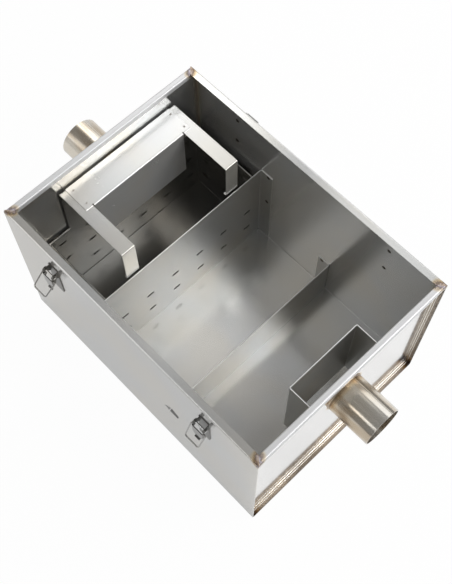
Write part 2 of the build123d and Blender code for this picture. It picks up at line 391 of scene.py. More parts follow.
# Painted highlight: a near-white colour laid on the long top folds in place of the light line they catch.
FOLD_HIGHLIGHT_COLOUR = (0.98, 0.975, 0.965)
SATIN_METALLIC = 0.35
COOL = (0.975, 0.995, 1.015)
WARM = (1.015, 1.0, 0.965)


@dataclass(frozen=True)
class Steel:
    """Stainless sheet: fine grain, faint clouds, handling marks, heat tint, cut edges made paler as a
    painted highlight, and a painted highlight on the top folds.
    """

    name: str
    colour: Colour = (0.70, 0.691, 0.67)
    roughness: float = 0.2
    metallic: float = 0.74
    grain: Grain = Grain.ACROSS_THE_TANK
    pitch: float = 0.7 * MM
    depth: float = 0.0008 * MM
    wave: float = 0.08 * MM
    clouds: float = 0.05
    welds: tuple[HeatSeam | HeatRing, ...] = ()
    cut_face_and_highlight: float | None = None
    mirror_face: float | None = None
    satin_above: float | None = None
    # Where the painted highlight on the long top folds lies: the side and the top it runs along.
    fold_highlight: tuple[float, float] | None = None

    def material(self) -> bpy.types.Material:
        """Builds the finish.

        Returns:
            The material.
        """
        made, graph, vector = blank_material(self.name)
        skin = self._sheet(graph, vector)
        self._details(skin)
        relief = {"Strength": 1.0, "Distance": self.depth, "Height": skin.height}
        metallic = self.metallic
        if self.satin_above is not None:
            metallic = self.metallic - (self.metallic - SATIN_METALLIC) * self._satin(skin.place[2])
        # The painted fold highlight is also made fully metallic.
        if self.fold_highlight is not None:
            metallic = self.metallic + (1.0 - self.metallic) * self._fold(skin.place)
        sockets = {
            "Base Color": skin.base,
            "Metallic": metallic,
            "Roughness": skin.rough.clamped(),
            "Normal": graph.node("ShaderNodeBump", None, relief),
        }
        graph.principled(sockets)
        return made

    def _lines(self, graph: Graph, place: tuple[Value, Value, Value], pitch: float) -> Value:
        """Fine lines along the grain.

        Args:
            graph: the tree.
            place: X, Y and Z.
            pitch: how far apart the lines are.

        Returns:
            Lines from 0 to 1.
        """
        stretched = [value * (share / pitch) for value, share in zip(place, self.grain.value)]
        return graph.noise(graph.vector(*stretched), scale=1.0, detail=3.0, roughness=0.6)

    def _sheet(self, graph: Graph, vector: Value) -> Skin:
        """Draws the bare sheet.

        Args:
            graph: the tree.
            vector: the point on the piece.

        Returns:
            The sheet, with its relief in shares of the depth.
        """
        place = graph.split(vector)
        x, y, z = place
        lines = self._lines(graph, place, self.pitch)
        hatch = self._lines(graph, place, 5.0 * self.pitch)
        clouds = graph.noise(vector, scale=9.0, detail=3.0, roughness=0.55)
        waves = graph.noise(vector, scale=17.0, detail=1.0, roughness=0.4)
        patches = graph.noise(graph.vector(x * 1.6, y * 2.3, z * 2.0), scale=4.0, detail=2.0)
        smears = graph.noise(vector, scale=38.0, detail=4.0, roughness=0.65).ramp(0.58, 0.75)
        cool = tuple(value * share for value, share in zip(self.colour, COOL))
        warm = tuple(value * share for value, share in zip(self.colour, WARM))
        shade = 1.0 + (clouds - 0.5) * (2.0 * self.clouds) + (lines - 0.5) * 0.03 + (hatch - 0.5) * 0.03
        base = graph.shaded(graph.mixed(patches.ramp(0.35, 0.65), cool, warm), shade)
        rough = self.roughness + (clouds - 0.5) * 0.06 + (lines - 0.5) * 0.03 + smears * 0.03
        return Skin(graph, vector, place, base, rough, lines + waves * (self.wave / self.depth))

    def _satin(self, z: Value) -> Value:
        """Where the sheet is satin, by height."""
        return z.ramp(self.satin_above - 1.0 * MM, self.satin_above)

    def _fold(self, place: tuple[Value, Value, Value]) -> Value:
        """Where the painted highlight lies on the long top folds.

        Args:
            place: X, Y and Z.

        Returns:
            1 on the folds and 0 elsewhere.
        """
        side, top = self.fold_highlight
        across = abs(place[1]).ramp(side - 1.4 * MM, side - 0.9 * MM)
        return across * place[2].ramp(top - 1.5 * MM, top - 1.0 * MM)

    def _details(self, skin: Skin) -> None:
        """Adds the polished outside, the cut edge with its painted highlight, the painted fold highlight,
        the heat tint and the rippled weld metal.

        Args:
            skin: the bare sheet.
        """
        graph = skin.graph
        x, y, z = skin.place
        if self.mirror_face is not None:
            skin.work(abs(x).ramp(self.mirror_face - 0.4 * MM, self.mirror_face - 0.2 * MM), MIRROR)
        if self.satin_above is not None:
            skin.work(self._satin(z), SATIN)
        # Painted highlight: the long top folds are coloured near-white for the light line they catch.
        if self.fold_highlight is not None:
            skin.base = graph.mixed(self._fold(skin.place), skin.base, FOLD_HIGHLIGHT_COLOUR)
        # Painted highlight on a real cut face: the top edge band is paler and rougher.
        if self.cut_face_and_highlight is not None:
            skin.work(z.ramp(self.cut_face_and_highlight - 0.25 * MM, self.cut_face_and_highlight - 0.15 * MM), CUT_FACE_AND_HIGHLIGHT)
        if self.welds:
            patches = graph.noise(skin.vector, scale=60.0, detail=2.0)
            grit = graph.noise(skin.vector, scale=380.0, detail=3.0, roughness=0.7)
        for weld in self.welds:
            near = weld.heat(graph, x, y, z)
            specks = near.ramp(0.3, 0.7) * (grit - 0.5) * weld.mottle
            heat = (near * (0.8 + patches * 0.4) + specks).clamped()
            tint = graph.node("ShaderNodeValToRGB", {"stops": HEAT_COLOURS}, {"Fac": heat})
            skin.base = graph.filtered(skin.base, tint)
            skin.rough = skin.rough + heat * weld.dulling
            skin.height = skin.height + near.ramp(0.5, 0.7) * grit * (weld.mottle * 300.0)


@dataclass(frozen=True)
class TubeSteel(Steel):
    """Polished welded tube: fine lines round it, one bright seam along it and uneven streaks."""

    axis_height: float = 0.0
    seam_angle: float = 1.1
    seam_colour: Colour = (0.80, 0.78, 0.74)
    stain: Colour = (0.60, 0.53, 0.44)

    def _details(self, skin: Skin) -> None:
        """Adds the seam and the streaks.

        Args:
            skin: the bare sheet.
        """
        graph = skin.graph
        x, y, z = skin.place
        up = z - self.axis_height
        along_seam = y * math.cos(self.seam_angle) + up * math.sin(self.seam_angle)
        across_seam = abs(y * math.sin(self.seam_angle) - up * math.cos(self.seam_angle))
        seam = (1.0 - across_seam.ramp(0.5 * MM, 1.3 * MM)) * along_seam.ramp(0.0, 5.0 * MM)
        streaks = graph.noise(graph.vector(x * 2.0, y * 90.0, up * 90.0), 1.0, detail=3.0, roughness=0.6)
        stains = graph.noise(graph.vector(x * 9.0, y * 42.0, up * 42.0), 1.0, detail=2.0, roughness=0.5)
        skin.base = graph.mixed(stains.ramp(0.42, 0.62), skin.base, self.stain)
        skin.base = graph.shaded(skin.base, 0.94 + streaks * 0.12)
        skin.base = graph.mixed(seam * 0.7, skin.base, self.seam_colour)
        skin.rough = skin.rough + seam * 0.22 + (streaks - 0.5) * 0.06
        super()._details(skin)


@dataclass(frozen=True)
class WeldMetal:
    """The cast surface of a weld bead, straw to blue-grey along its length."""

    name: str = "weld_metal"
    roughness: float = 0.26

    def material(self) -> bpy.types.Material:
        """Builds the finish.

        Returns:
            The material.
        """
        made, graph, vector = blank_material(self.name)
        stretch = graph.noise(vector, scale=120.0, detail=3.0, roughness=0.6)
        fine = graph.noise(vector, scale=900.0, detail=2.0, roughness=0.5)
        stops = (
            (0.30, (0.60, 0.58, 0.55)),
            (0.48, (0.62, 0.52, 0.38)),
            (0.58, (0.50, 0.42, 0.36)),
            (0.72, (0.48, 0.49, 0.53)),
        )
        base = graph.node("ShaderNodeValToRGB", {"stops": stops}, {"Fac": stretch})
        rough = self.roughness + (fine - 0.5) * 0.12
        bump = graph.node("ShaderNodeBump", None, {"Strength": 1.0, "Distance": 0.03 * MM, "Height": fine})
        sockets = {"Base Color": base, "Metallic": 1.0, "Roughness": rough, "Normal": bump}
        graph.principled(sockets)
        return made


@dataclass(frozen=True)
class FlushWeld:
    """The smooth bright face of a weld that was dressed flush."""

    name: str = "flush_weld"
    colour: Colour = (0.99, 0.98, 0.96)
    roughness: float = 0.12

    def material(self) -> bpy.types.Material:
        """Builds the finish.

        Returns:
            The material.
        """
        made, graph, vector = blank_material(self.name)
        clouds = graph.noise(vector, scale=45.0, detail=3.0, roughness=0.6)
        base = graph.shaded(graph.mixed(clouds, self.colour, (0.93, 0.91, 0.87)), 0.95 + clouds * 0.1)
        rough = self.roughness + (clouds - 0.5) * 0.08
        graph.principled({"Base Color": base, "Metallic": 1.0, "Roughness": rough})
        return made


@dataclass(frozen=True)
class SpotMetal:
    """A spot weld: a scorched middle inside a bronze ring, read from its own reach attribute."""

    name: str = "spot_weld"
    middle: Colour = (0.060, 0.052, 0.045)
    ring: Colour = (0.22, 0.18, 0.135)

    def material(self) -> bpy.types.Material:
        """Builds the finish.

        Returns:
            The material.
        """
        made, graph, vector = blank_material(self.name)
        reach = graph.node("ShaderNodeAttribute", {"attribute_name": "reach"}, output="Fac")
        grit = graph.noise(vector, scale=1400.0, detail=3.0, roughness=0.6)
        burnt = (reach + (grit - 0.5) * 0.5).ramp(0.45, 0.95)
        base = graph.mixed(burnt, self.middle, self.ring)
        rough = 0.52 + (grit - 0.5) * 0.3
        sockets = {"Base Color": base, "Metallic": 0.9, "Roughness": rough}
        graph.principled(sockets)
        return made


@dataclass(frozen=True)
class PrintedFilm:
    """A plain print: a dark part, a pale slanted line and a grey part, with no words."""

    name: str
    join: float
    foot: float
    slant: float
    line_width: float = 2.2 * MM

    def material(self) -> bpy.types.Material:
        """Builds the finish.

        Returns:
            The material.
        """
        made, graph, vector = blank_material(self.name)
        x, y, z = graph.split(vector)
        grit = graph.noise(vector, scale=700.0, detail=3.0, roughness=0.6)
        past = x - self.join - (z - self.foot) * self.slant
        line = 1.0 - (abs(past) / (self.line_width / 2)).ramp(0.8, 1.1)
        base = graph.mixed(past.ramp(0.0, 0.3 * MM), (0.27, 0.265, 0.255), (0.050, 0.048, 0.043))
        base = graph.mixed(line, base, (0.80, 0.79, 0.76))
        base = graph.shaded(base, 0.9 + grit * 0.2)
        sockets = {"Base Color": base, "Roughness": 0.34 + grit * 0.1}
        graph.principled(sockets)
        return made


@dataclass(frozen=True)
class Paper:
    """The plain white floor of the studio, which keeps a soft share of the shadow."""

    name: str = "white_floor"
    colour: Colour = (0.88, 0.88, 0.88)
    glow: float = 1.0
    share: float = 0.97
    seen_in_metal: float = 0.47

    def material(self) -> bpy.types.Material:
        """Builds the floor's finish.

        Returns:
            The material.
        """
        made = bpy.data.materials.new(self.name)
        made.use_nodes = True
        graph = Graph(made.node_tree)
        camera = graph.node("ShaderNodeLightPath", output="Is Camera Ray")
        glossy = graph.other(camera, "Is Glossy Ray")
        through = graph.other(camera, "Is Transmission Ray")
        seen = camera.most(glossy * self.seen_in_metal).most(through)
        matt = graph.node("ShaderNodeBsdfDiffuse", None, {"Color": (*self.colour, 1.0)})
        white = {"Color": (1.0, 1.0, 1.0, 1.0), "Strength": self.glow}
        bright = graph.node("ShaderNodeEmission", None, white)
        mix = graph.node("ShaderNodeMixShader", None, {0: seen * self.share, 1: matt, 2: bright})
        graph.node("ShaderNodeOutputMaterial", None, {"Surface": mix})
        return made


class PieceTree:
    """A Geometry Nodes tree with named inputs, which turns a path or points into a plain mesh."""

    def __init__(self, name: str, sizes: Sequence[str]) -> None:
        """Starts the tree.

        Args:
            name: the tree's name.
            sizes: the named inputs that are plain numbers; a seed and a material follow them.
        """
        inputs = {label: "NodeSocketFloat" for label in sizes}
        inputs |= {"Seed": "NodeSocketInt", "Material": "NodeSocketMaterial"}
        self.group = bpy.data.node_groups.new(name, "GeometryNodeTree")
        face = self.group.interface
        face.new_socket("Geometry", in_out="INPUT", socket_type="NodeSocketGeometry")
        self.sockets: dict[str, str] = {}
        for label, kind in inputs.items():
            self.sockets[label] = face.new_socket(label, in_out="INPUT", socket_type=kind).identifier
        face.new_socket("Geometry", in_out="OUTPUT", socket_type="NodeSocketGeometry")
        self.graph = Graph(self.group)
        self.start = self.graph.node("NodeGroupInput")

    def given(self, label: str) -> Value:
        """One of the tree's named inputs."""
        return self.graph.other(self.start, label)

    def close(self, geometry: Value) -> None:
        """Ends the tree with real geometry that carries its material.

        Args:
            geometry: the shape.
        """
        real = self.graph.node("GeometryNodeRealizeInstances", None, {"Geometry": geometry})
        smooth = self.graph.node("GeometryNodeSetShadeSmooth", None, {"Geometry": real})
        sockets = {"Geometry": smooth, "Material": self.given("Material")}
        dressed = self.graph.node("GeometryNodeSetMaterial", None, sockets)
        self.graph.node("NodeGroupOutput", None, {"Geometry": dressed})

    def drawn(self, low: float, high: float) -> Value:
        """A random number between two, from the tree's own seed."""
        sockets = {2: low, 3: high, "Seed": self.given("Seed")}
        return self.graph.node("FunctionNodeRandomValue", {"data_type": "FLOAT"}, sockets, 1)

    def grow(self, name: str, mesh: bpy.types.Mesh, values: Mapping[str, Any], body: str, slot: str) -> None:
        """Runs the tree once and keeps the result as a plain mesh on a body.

        Args:
            name: the new piece's name.
            mesh: the path or points.
            values: the named inputs' values.
            body: the body that the piece rides on.
            slot: not used.
        """
        made = bpy.data.objects.new(name, mesh)
        bpy.context.scene.collection.objects.link(made)
        modifier = made.modifiers.new("tree", "NODES")
        modifier.node_group = self.group
        for label, value in values.items():
            modifier[self.sockets[label]] = value
        depsgraph = bpy.context.evaluated_depsgraph_get()
        result = bpy.data.meshes.new_from_object(made.evaluated_get(depsgraph), depsgraph=depsgraph)
        made.modifiers.remove(modifier)
        made.data = result
        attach(made, body)
        LOG.info("built %s with %d faces", name, len(result.polygons))


class WeldBeads(PieceTree):
    """Rippled beads swept along a path of edges."""

    def __init__(self) -> None:
        """Draws the tree."""
        super().__init__("weld_beads", ("Radius", "Ripple", "Swell"))
        graph = self.graph
        curve = graph.node("GeometryNodeMeshToCurve", None, {"Mesh": self.start})
        step = self.given("Ripple") * 0.25
        sockets = {"Curve": curve, "Length": step}
        curve = graph.node("GeometryNodeResampleCurve", {"mode": "LENGTH"}, sockets)
        length = graph.node("GeometryNodeSplineParameter", output="Length")
        wave = abs((length * math.pi / self.given("Ripple")).sine())
        uneven = wave - 0.6 + self.drawn(-0.5, 0.5) * 0.5
        scale = self.given("Radius") * (1.0 + self.given("Swell") * uneven)
        ring = graph.node("GeometryNodeCurvePrimitiveCircle", None, {"Resolution": 8, "Radius": 1.0})
        sockets = {"Curve": curve, "Profile Curve": ring, "Scale": scale, "Fill Caps": True}
        self.close(graph.node("GeometryNodeCurveToMesh", None, sockets))


class SpotWelds(PieceTree):
    """Small dimpled discs set on points, each facing the way its point's facing attribute says."""

    def __init__(self) -> None:
        """Draws the tree."""
        super().__init__("spot_welds", ("Diameter", "Height", "Dent"))
        graph = self.graph
        ball = graph.node("GeometryNodeMeshUVSphere", None, {"Segments": 20, "Rings": 10, "Radius": 1.0})
        x, y, z = graph.split(graph.node("GeometryNodeInputPosition"))
        reach = graph.length(x, y, 0.0)
        ball = graph.node(
            "GeometryNodeStoreNamedAttribute",
            {"data_type": "FLOAT", "domain": "POINT"},
            {"Geometry": ball, "Name": "reach", "Value": reach},
        )
        dent = 1.0 - (1.0 - reach.ramp(0.1, 0.75)) * self.given("Dent")
        half = self.given("Diameter") * 0.5
        place = graph.vector(x * half, y * half, z * dent * self.given("Height"))
        disc = graph.node("GeometryNodeSetPosition", None, {"Geometry": ball, "Position": place})
        settings = {"data_type": "FLOAT_VECTOR"}
        facing = graph.node("GeometryNodeInputNamedAttribute", settings, {"Name": "facing"})
        turn = graph.node("FunctionNodeAlignRotationToVector", {"axis": "Z"}, {"Vector": facing})
        size = self.drawn(0.88, 1.12)
        scale = graph.vector(size, size, 1.0)
        sockets = {"Points": self.start, "Instance": disc, "Rotation": turn, "Scale": scale}
        self.close(graph.node("GeometryNodeInstanceOnPoints", None, sockets))


def path_mesh(name: str, points: Sequence[Point], closed: bool = False) -> bpy.types.Mesh:
    """A mesh of edges through points.

    Args:
        name: its name.
        points: the points in order.
        closed: joins the last point to the first.

    Returns:
        The mesh.
    """
    edges = [(index, index + 1) for index in range(len(points) - 1)]
    if closed:
        edges.append((len(points) - 1, 0))
    mesh = bpy.data.meshes.new(name)
    mesh.from_pydata([tuple(point) for point in points], edges, [])
    return mesh


def spot_mesh(name: str, spots: Sequence[tuple[Point, Point]]) -> bpy.types.Mesh:
    """Points that carry the way they face.

    Args:
        name: its name.
        spots: each point with its facing.

    Returns:
        The mesh.
    """
    mesh = bpy.data.meshes.new(name)
    mesh.from_pydata([place for place, _ in spots], [], [])
    facing = mesh.attributes.new("facing", "FLOAT_VECTOR", "POINT")
    for entry, (_, way) in zip(facing.data, spots):
        entry.vector = way
    return mesh


def dress(node: str, material: bpy.types.Material) -> None:
    """Gives a CAD node its finish.

    Args:
        node: the node's name.
        material: the finish.
    """
    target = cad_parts[node]
    target.data.materials.clear()
    target.data.materials.append(material)
    LOG.info("dressed %s", node)


@dataclass
class Workshop:
    """The trees and shared finishes that the sub-assemblies use."""

    ripple: float = 1.6 * MM
    swell: float = 0.22
    flush_ripple: float = 16.0 * MM
    spot_height: float = 0.16 * MM
    spot_dent: float = 0.7
    beads: WeldBeads = field(default_factory=WeldBeads)
    spots: SpotWelds = field(default_factory=SpotWelds)
    weld_metal: bpy.types.Material = field(default_factory=lambda: WeldMetal().material())
    flush_weld: bpy.types.Material = field(default_factory=lambda: FlushWeld().material())
    spot_metal: bpy.types.Material = field(default_factory=lambda: SpotMetal().material())
    faint_spot: bpy.types.Material = field(
        default_factory=lambda: SpotMetal("faint_spot", (0.26, 0.24, 0.22), (0.46, 0.44, 0.41)).material()
    )

    def bead(
        self, name: str, points: Sequence[Point], radius: float, seed: int, closed: bool = False
    ) -> None:
        """Lays a rippled weld bead on the tank.

        Args:
            name: the bead's name.
            points: its path.
            radius: the bead's radius.
            seed: the seed of its unevenness.
            closed: joins its end to its start.
        """
        values = {"Radius": radius, "Ripple": self.ripple, "Swell": self.swell, "Seed": seed}
        values["Material"] = self.weld_metal
        self.beads.grow(name, path_mesh(name, points, closed), values, "tank", "tank_steel")

    def flush(self, name: str, points: Sequence[Point], radius: float) -> None:
        """Lays a smooth dressed weld on the tank.

        Args:
            name: the weld's name.
            points: its path.
            radius: its radius.
        """
        values = {"Radius": radius, "Ripple": self.flush_ripple, "Swell": 0.0, "Seed": 0}
        values["Material"] = self.flush_weld
        self.beads.grow(name, path_mesh(name, points), values, "tank", "tank_steel")

    def spot_welds(
        self,
        name: str,
        spots: Sequence[tuple[Point, Point]],
        diameter: float,
        seed: int,
        faint: bool = False,
    ) -> None:
        """Sets spot welds on the tank.

        Args:
            name: the piece's name.
            spots: each place with its facing.
            diameter: their diameter.
            seed: the seed of their sizes.
            faint: leaves them almost without scorch.
        """
        values = {"Diameter": diameter, "Height": self.spot_height, "Dent": self.spot_dent, "Seed": seed}
        values["Material"] = self.faint_spot if faint else self.spot_metal
        self.spots.grow(name, spot_mesh(name, spots), values, "tank", "inner_steel")


@dataclass
class Shell:
    """The folded tank: wrap, end panels and the welds between them."""

    sheet: float = 1.5 * MM
    lip: float = 8.0 * MM
    rim: float = 12.0 * MM
    end_rim: float = 10.5 * MM
    recess: float = 9.0 * MM
    seam: float = 0.4 * MM
    seam_gap: float = 3.0 * MM
    corner_bead: float = 0.75 * MM
    inset: float = 0.2 * MM
    foot_length: float = 8.0 * MM
    floor_reach: float = 25.0 * MM
    side_reach: float = 22.0 * MM
    foot_reach: float = 18.0 * MM
    mitre_reach: float = 11.0 * MM
    mitre_inset: float = 1.5 * MM
    pipe_reach: float = 5.0 * MM

    def __post_init__(self) -> None:
        """Reads the sizes from the frame."""
        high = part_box("tank_wrap")[1]
        self.half_length = high.x
        self.half_width = high.y
        self.height = high.z
        self.panel_face = self.half_length - self.recess

    def build(self, workshop: Workshop) -> None:
        """Lays the welds.

        Args:
            workshop: the trees and finishes.
        """
        inner = self.half_width - self.sheet
        top = self.height - self.lip - self.corner_bead
        for name, way in (("inlet", -1), ("outlet", 1)):
            for line, out in (("root", self.inset), ("toe", self.seam_gap)):
                edge = way * (self.panel_face + out)
                side = inner - self.inset
                floor = self.sheet + self.inset / 2
                path = [(edge, -side, top), (edge, -side, floor), (edge, side, floor), (edge, side, top)]
                workshop.flush(f"{name}_recess_{line}", path, self.seam)
            for side_name, side_way in (("near", -1), ("far", 1)):
                tip = way * (self.half_length - self.inset)
                seam = side_way * inner
                foot = (tip, seam, self.height - self.lip)
                head = (tip, seam, self.height - 1.1 * self.corner_bead)
                workshop.bead(
                    f"{side_name}_{name}_corner_weld", [foot, head], self.corner_bead, 7 + way + side_way
                )

    def _seams(self) -> tuple[HeatSeam, ...]:
        """The welds that tint the wrap."""
        inner = self.half_width - self.sheet
        edge = self.half_length - 0.5 * MM
        floor_middle = (edge, 0.0, self.sheet)
        floor_end = (edge, inner, self.sheet)
        side_foot = (edge, inner, self.sheet + self.foot_length)
        side_top = (edge, inner, self.height - self.lip)
        return (
            self._mitre(),
            HeatSeam(floor_middle, floor_end, self.floor_reach, strength=0.70, skin=inner),
            HeatSeam(floor_end, side_top, self.side_reach, strength=0.68, skin=inner),
            HeatSeam(floor_end, side_foot, self.foot_reach, strength=0.9, skin=inner),
        )

    def _mitre(self) -> HeatSeam:
        """The weld across the mitre of the rims."""
        inset = self.mitre_inset
        inner_corner = (
            self.half_length - self.end_rim + inset,
            self.half_width - self.rim + inset,
            self.height,
        )
        outer_corner = (self.half_length - inset, self.half_width - 2 * inset, self.height)
        return HeatSeam(inner_corner, outer_corner, self.mitre_reach, 1.1, mottle=2.0, dulling=0.04)

    def dress(self) -> None:
        """Gives the sheets their finishes."""
        # The wrap gets a painted highlight on its long top folds.
        fold = (self.half_width, self.height)
        wrap = Steel("tank_sheet", roughness=0.19, welds=self._seams(), fold_highlight=fold)
        dress("tank_wrap", wrap.material())
        for name, way in (("inlet", -1), ("outlet", 1)):
            pipe_low, pipe_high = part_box(f"{name}_pipe")
            axis = (way * self.panel_face, 0.0, (pipe_low.z + pipe_high.z) / 2)
            root = HeatRing(axis, (pipe_high.z - pipe_low.z) / 2, self.pipe_reach, strength=0.6)
            panel = Steel(
                f"{name}_panel_sheet",
                colour=(0.78, 0.77, 0.75),
                roughness=0.16,
                metallic=0.9,
                grain=Grain.ALONG_THE_FOLDS,
                welds=(self._mitre(), root),
                mirror_face=self.panel_face,
                satin_above=self.height - self.lip - 0.5 * MM,
            )
            dress(f"{name}_end_panel", panel.material())


@dataclass
class Pipes:
    """The two stub pipes and their root welds."""

    bead: float = 0.9 * MM
    turns: int = 72
    tint_reach: float = 11.0 * MM
    warmth_reach: float = 110.0 * MM

    def build(self, workshop: Workshop) -> None:
        """Lays the root beads.

        Args:
            workshop: the trees and finishes.
        """
        for name, way in (("inlet", -1), ("outlet", 1)):
            low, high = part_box(f"{name}_pipe")
            middle = (low.z + high.z) / 2
            radius = (high.z - low.z) / 2 + 0.2 * MM
            root = low.x if way > 0 else high.x
            points = []
            for index in range(self.turns):
                angle = 2 * math.pi * index / self.turns
                y, z = radius * math.cos(angle), middle + radius * math.sin(angle)
                points.append((root + way * 0.3 * MM, y, z))
            workshop.bead(f"{name}_pipe_weld", points, self.bead, 20 + way, closed=True)

    def dress(self) -> None:
        """Gives the pipes their finishes."""
        for name, way in (("inlet", -1), ("outlet", 1)):
            low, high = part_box(f"{name}_pipe")
            root = low.x if way > 0 else high.x
            middle = (low.z + high.z) / 2
            radius = (high.z - low.z) / 2
            weld = HeatRing((root, 0.0, middle), radius, self.tint_reach, strength=0.72)
            warmth = HeatRing((root, 0.0, middle), radius, self.warmth_reach, strength=0.3)
            tube = TubeSteel(
                f"{name}_tube",
                colour=(0.80, 0.79, 0.77),
                roughness=0.15,
                metallic=0.90,
                wave=0.0,
                grain=Grain.ROUND_A_TUBE,
                pitch=0.5 * MM,
                depth=0.003 * MM,
                welds=(weld, warmth),
                axis_height=middle,
            )
            dress(f"{name}_pipe", tube.material())


@dataclass
class Baffles:
    """The slotted baffle, the low baffle and the outlet box, with their spot welds."""

    sheet: float = 1.2 * MM
    spot: float = 7.0 * MM
    pitch: float = 72.0 * MM
    from_slotted_edge: float = 8.5 * MM
    from_low_plate: float = 7.5 * MM
    below_top: float = 4.5 * MM

    def build(self, workshop: Workshop) -> None:
        """Sets the spot welds on the flanges.

        Args:
            workshop: the trees and finishes.
        """
        slotted_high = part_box("slotted_baffle")[1]
        low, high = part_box("low_baffle")
        flanges = (
            (slotted_high.x - self.from_slotted_edge, slotted_high, 2),
            (low.x + self.from_low_plate, high, 1),
        )
        spots = []
        for x, top, rows in flanges:
            for side in (-1, 1):
                for row in range(rows):
                    z = top.z - self.below_top - row * self.pitch
                    spots.append(((x, side * (top.y - self.sheet), z), (0.0, -side, 0.0)))
        workshop.spot_welds("baffle_spot_welds", spots, self.spot, 5)

    def dress(self) -> None:
        """Gives the plates their finishes, darkened as painted shade."""
        for node in ("slotted_baffle", "low_baffle", "outlet_box"):
            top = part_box(node)[1].z
            plate = Steel(
                f"{node}_sheet",
                # Painted shade: the plates' base colour is made much darker than the tank's, standing in for
                # the shade inside the tank.
                colour=(0.45, 0.446, 0.432),
                roughness=0.33,
                grain=Grain.ALONG_THE_FOLDS,
                wave=0.02 * MM,
                # The top edge is paler: a real cut face with a painted highlight.
                cut_face_and_highlight=top,
            )
            dress(node, plate.material())


@dataclass
class Basket:
    """The lift-out basket with its hood and arms."""

    spot: float = 3.4 * MM
    near_inset: float = 8.0 * MM
    far_inset: float = 5.0 * MM
    back_inset: float = 10.5 * MM
    front_insets: tuple[float, float] = (10.0 * MM, 9.0 * MM)

    def build(self, workshop: Workshop) -> None:
        """Sets the spot welds that hold the hood on its arms.

        Args:
            workshop: the trees and finishes.
        """
        low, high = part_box("hood_panel")
        spots = []
        for y, front in zip((low.y + self.near_inset, high.y - self.far_inset), self.front_insets):
            for x in (low.x + self.back_inset, high.x - front):
                spots.append(((x, y, high.z), (0.0, 0.0, 1.0)))
        workshop.spot_welds("hood_spot_welds", spots, self.spot, 9, faint=True)

    def dress(self) -> None:
        """Gives the sheets their finishes; the basket's is darkened as painted shade."""
        # Painted shade: the basket's base colour is made dark, standing in for the shadow inside the basket.
        basket = Steel("basket_painted_shade_sheet", (0.36, 0.35, 0.33), 0.24, 0.85, grain=Grain.ALONG_THE_FOLDS)
        dress("basket", basket.material())
        hood = Steel("hood_sheet", roughness=0.25, metallic=0.62, grain=Grain.ALONG_THE_FOLDS)
        dress("hood_panel", hood.material())
        arms = Steel("arm_sheet", (0.59, 0.582, 0.56), 0.24, 0.76, grain=Grain.ACROSS_THE_TANK)
        material = arms.material()
        for node in ("near_arm", "far_arm"):
            dress(node, material)


@dataclass
class Latches:
    """The four toggle latches and the spot welds of their base plates."""

    spot: float = 7.6 * MM
    wall: float = 1.5 * MM
    above_foot: float = 8.0 * MM
    below_head: float = 9.5 * MM

    def build(self, workshop: Workshop) -> None:
        """Sets the spot welds inside the long walls, behind the base plates.

        Args:
            workshop: the trees and finishes.
        """
        half_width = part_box("tank_wrap")[1].y
        spots = []
        for side, way in (("near", -1), ("far", 1)):
            for end in ("inlet", "outlet"):
                low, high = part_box(f"{side}_{end}_latch_base")
                x = (low.x + high.x) / 2
                for z in (low.z + self.above_foot, high.z - self.below_head):
                    spots.append(((x, way * (half_width - self.wall), z), (0.0, -way, 0.0)))
        workshop.spot_welds("latch_spot_welds", spots, self.spot, 13)

    def dress(self) -> None:
        """Gives the latch parts their finishes, with painted shade on the base plates and a painted
        reflection on the levers.
        """
        # Painted shade: the base plates are nearly black, standing in for the shade and dark reflection
        # behind the levers.
        plate = Steel("latch_plate_painted_shade", (0.13, 0.125, 0.115), 0.28, 0.9, Grain.EVEN, wave=0.0).material()
        bright = Steel("latch_bright", (0.66, 0.65, 0.63), 0.12, 1.0, Grain.EVEN, wave=0.0).material()
        # Painted reflection: the levers are nearly black, standing in for the dark surroundings mirrored in
        # their flat webs.
        lever = Steel("latch_lever_painted_reflection", (0.17, 0.165, 0.155), 0.10, 1.0, Grain.EVEN, wave=0.0).material()
        wire = Steel("latch_wire", (0.46, 0.45, 0.43), 0.12, 1.0, Grain.EVEN, wave=0.0).material()
        for side in ("near", "far"):
            for end in ("inlet", "outlet"):
                name = f"{side}_{end}_latch"
                dress(f"{name}_base", plate)
                dress(f"{name}_pin", bright)
                dress(f"{name}_lever", lever)
                dress(f"{name}_loop", wire)


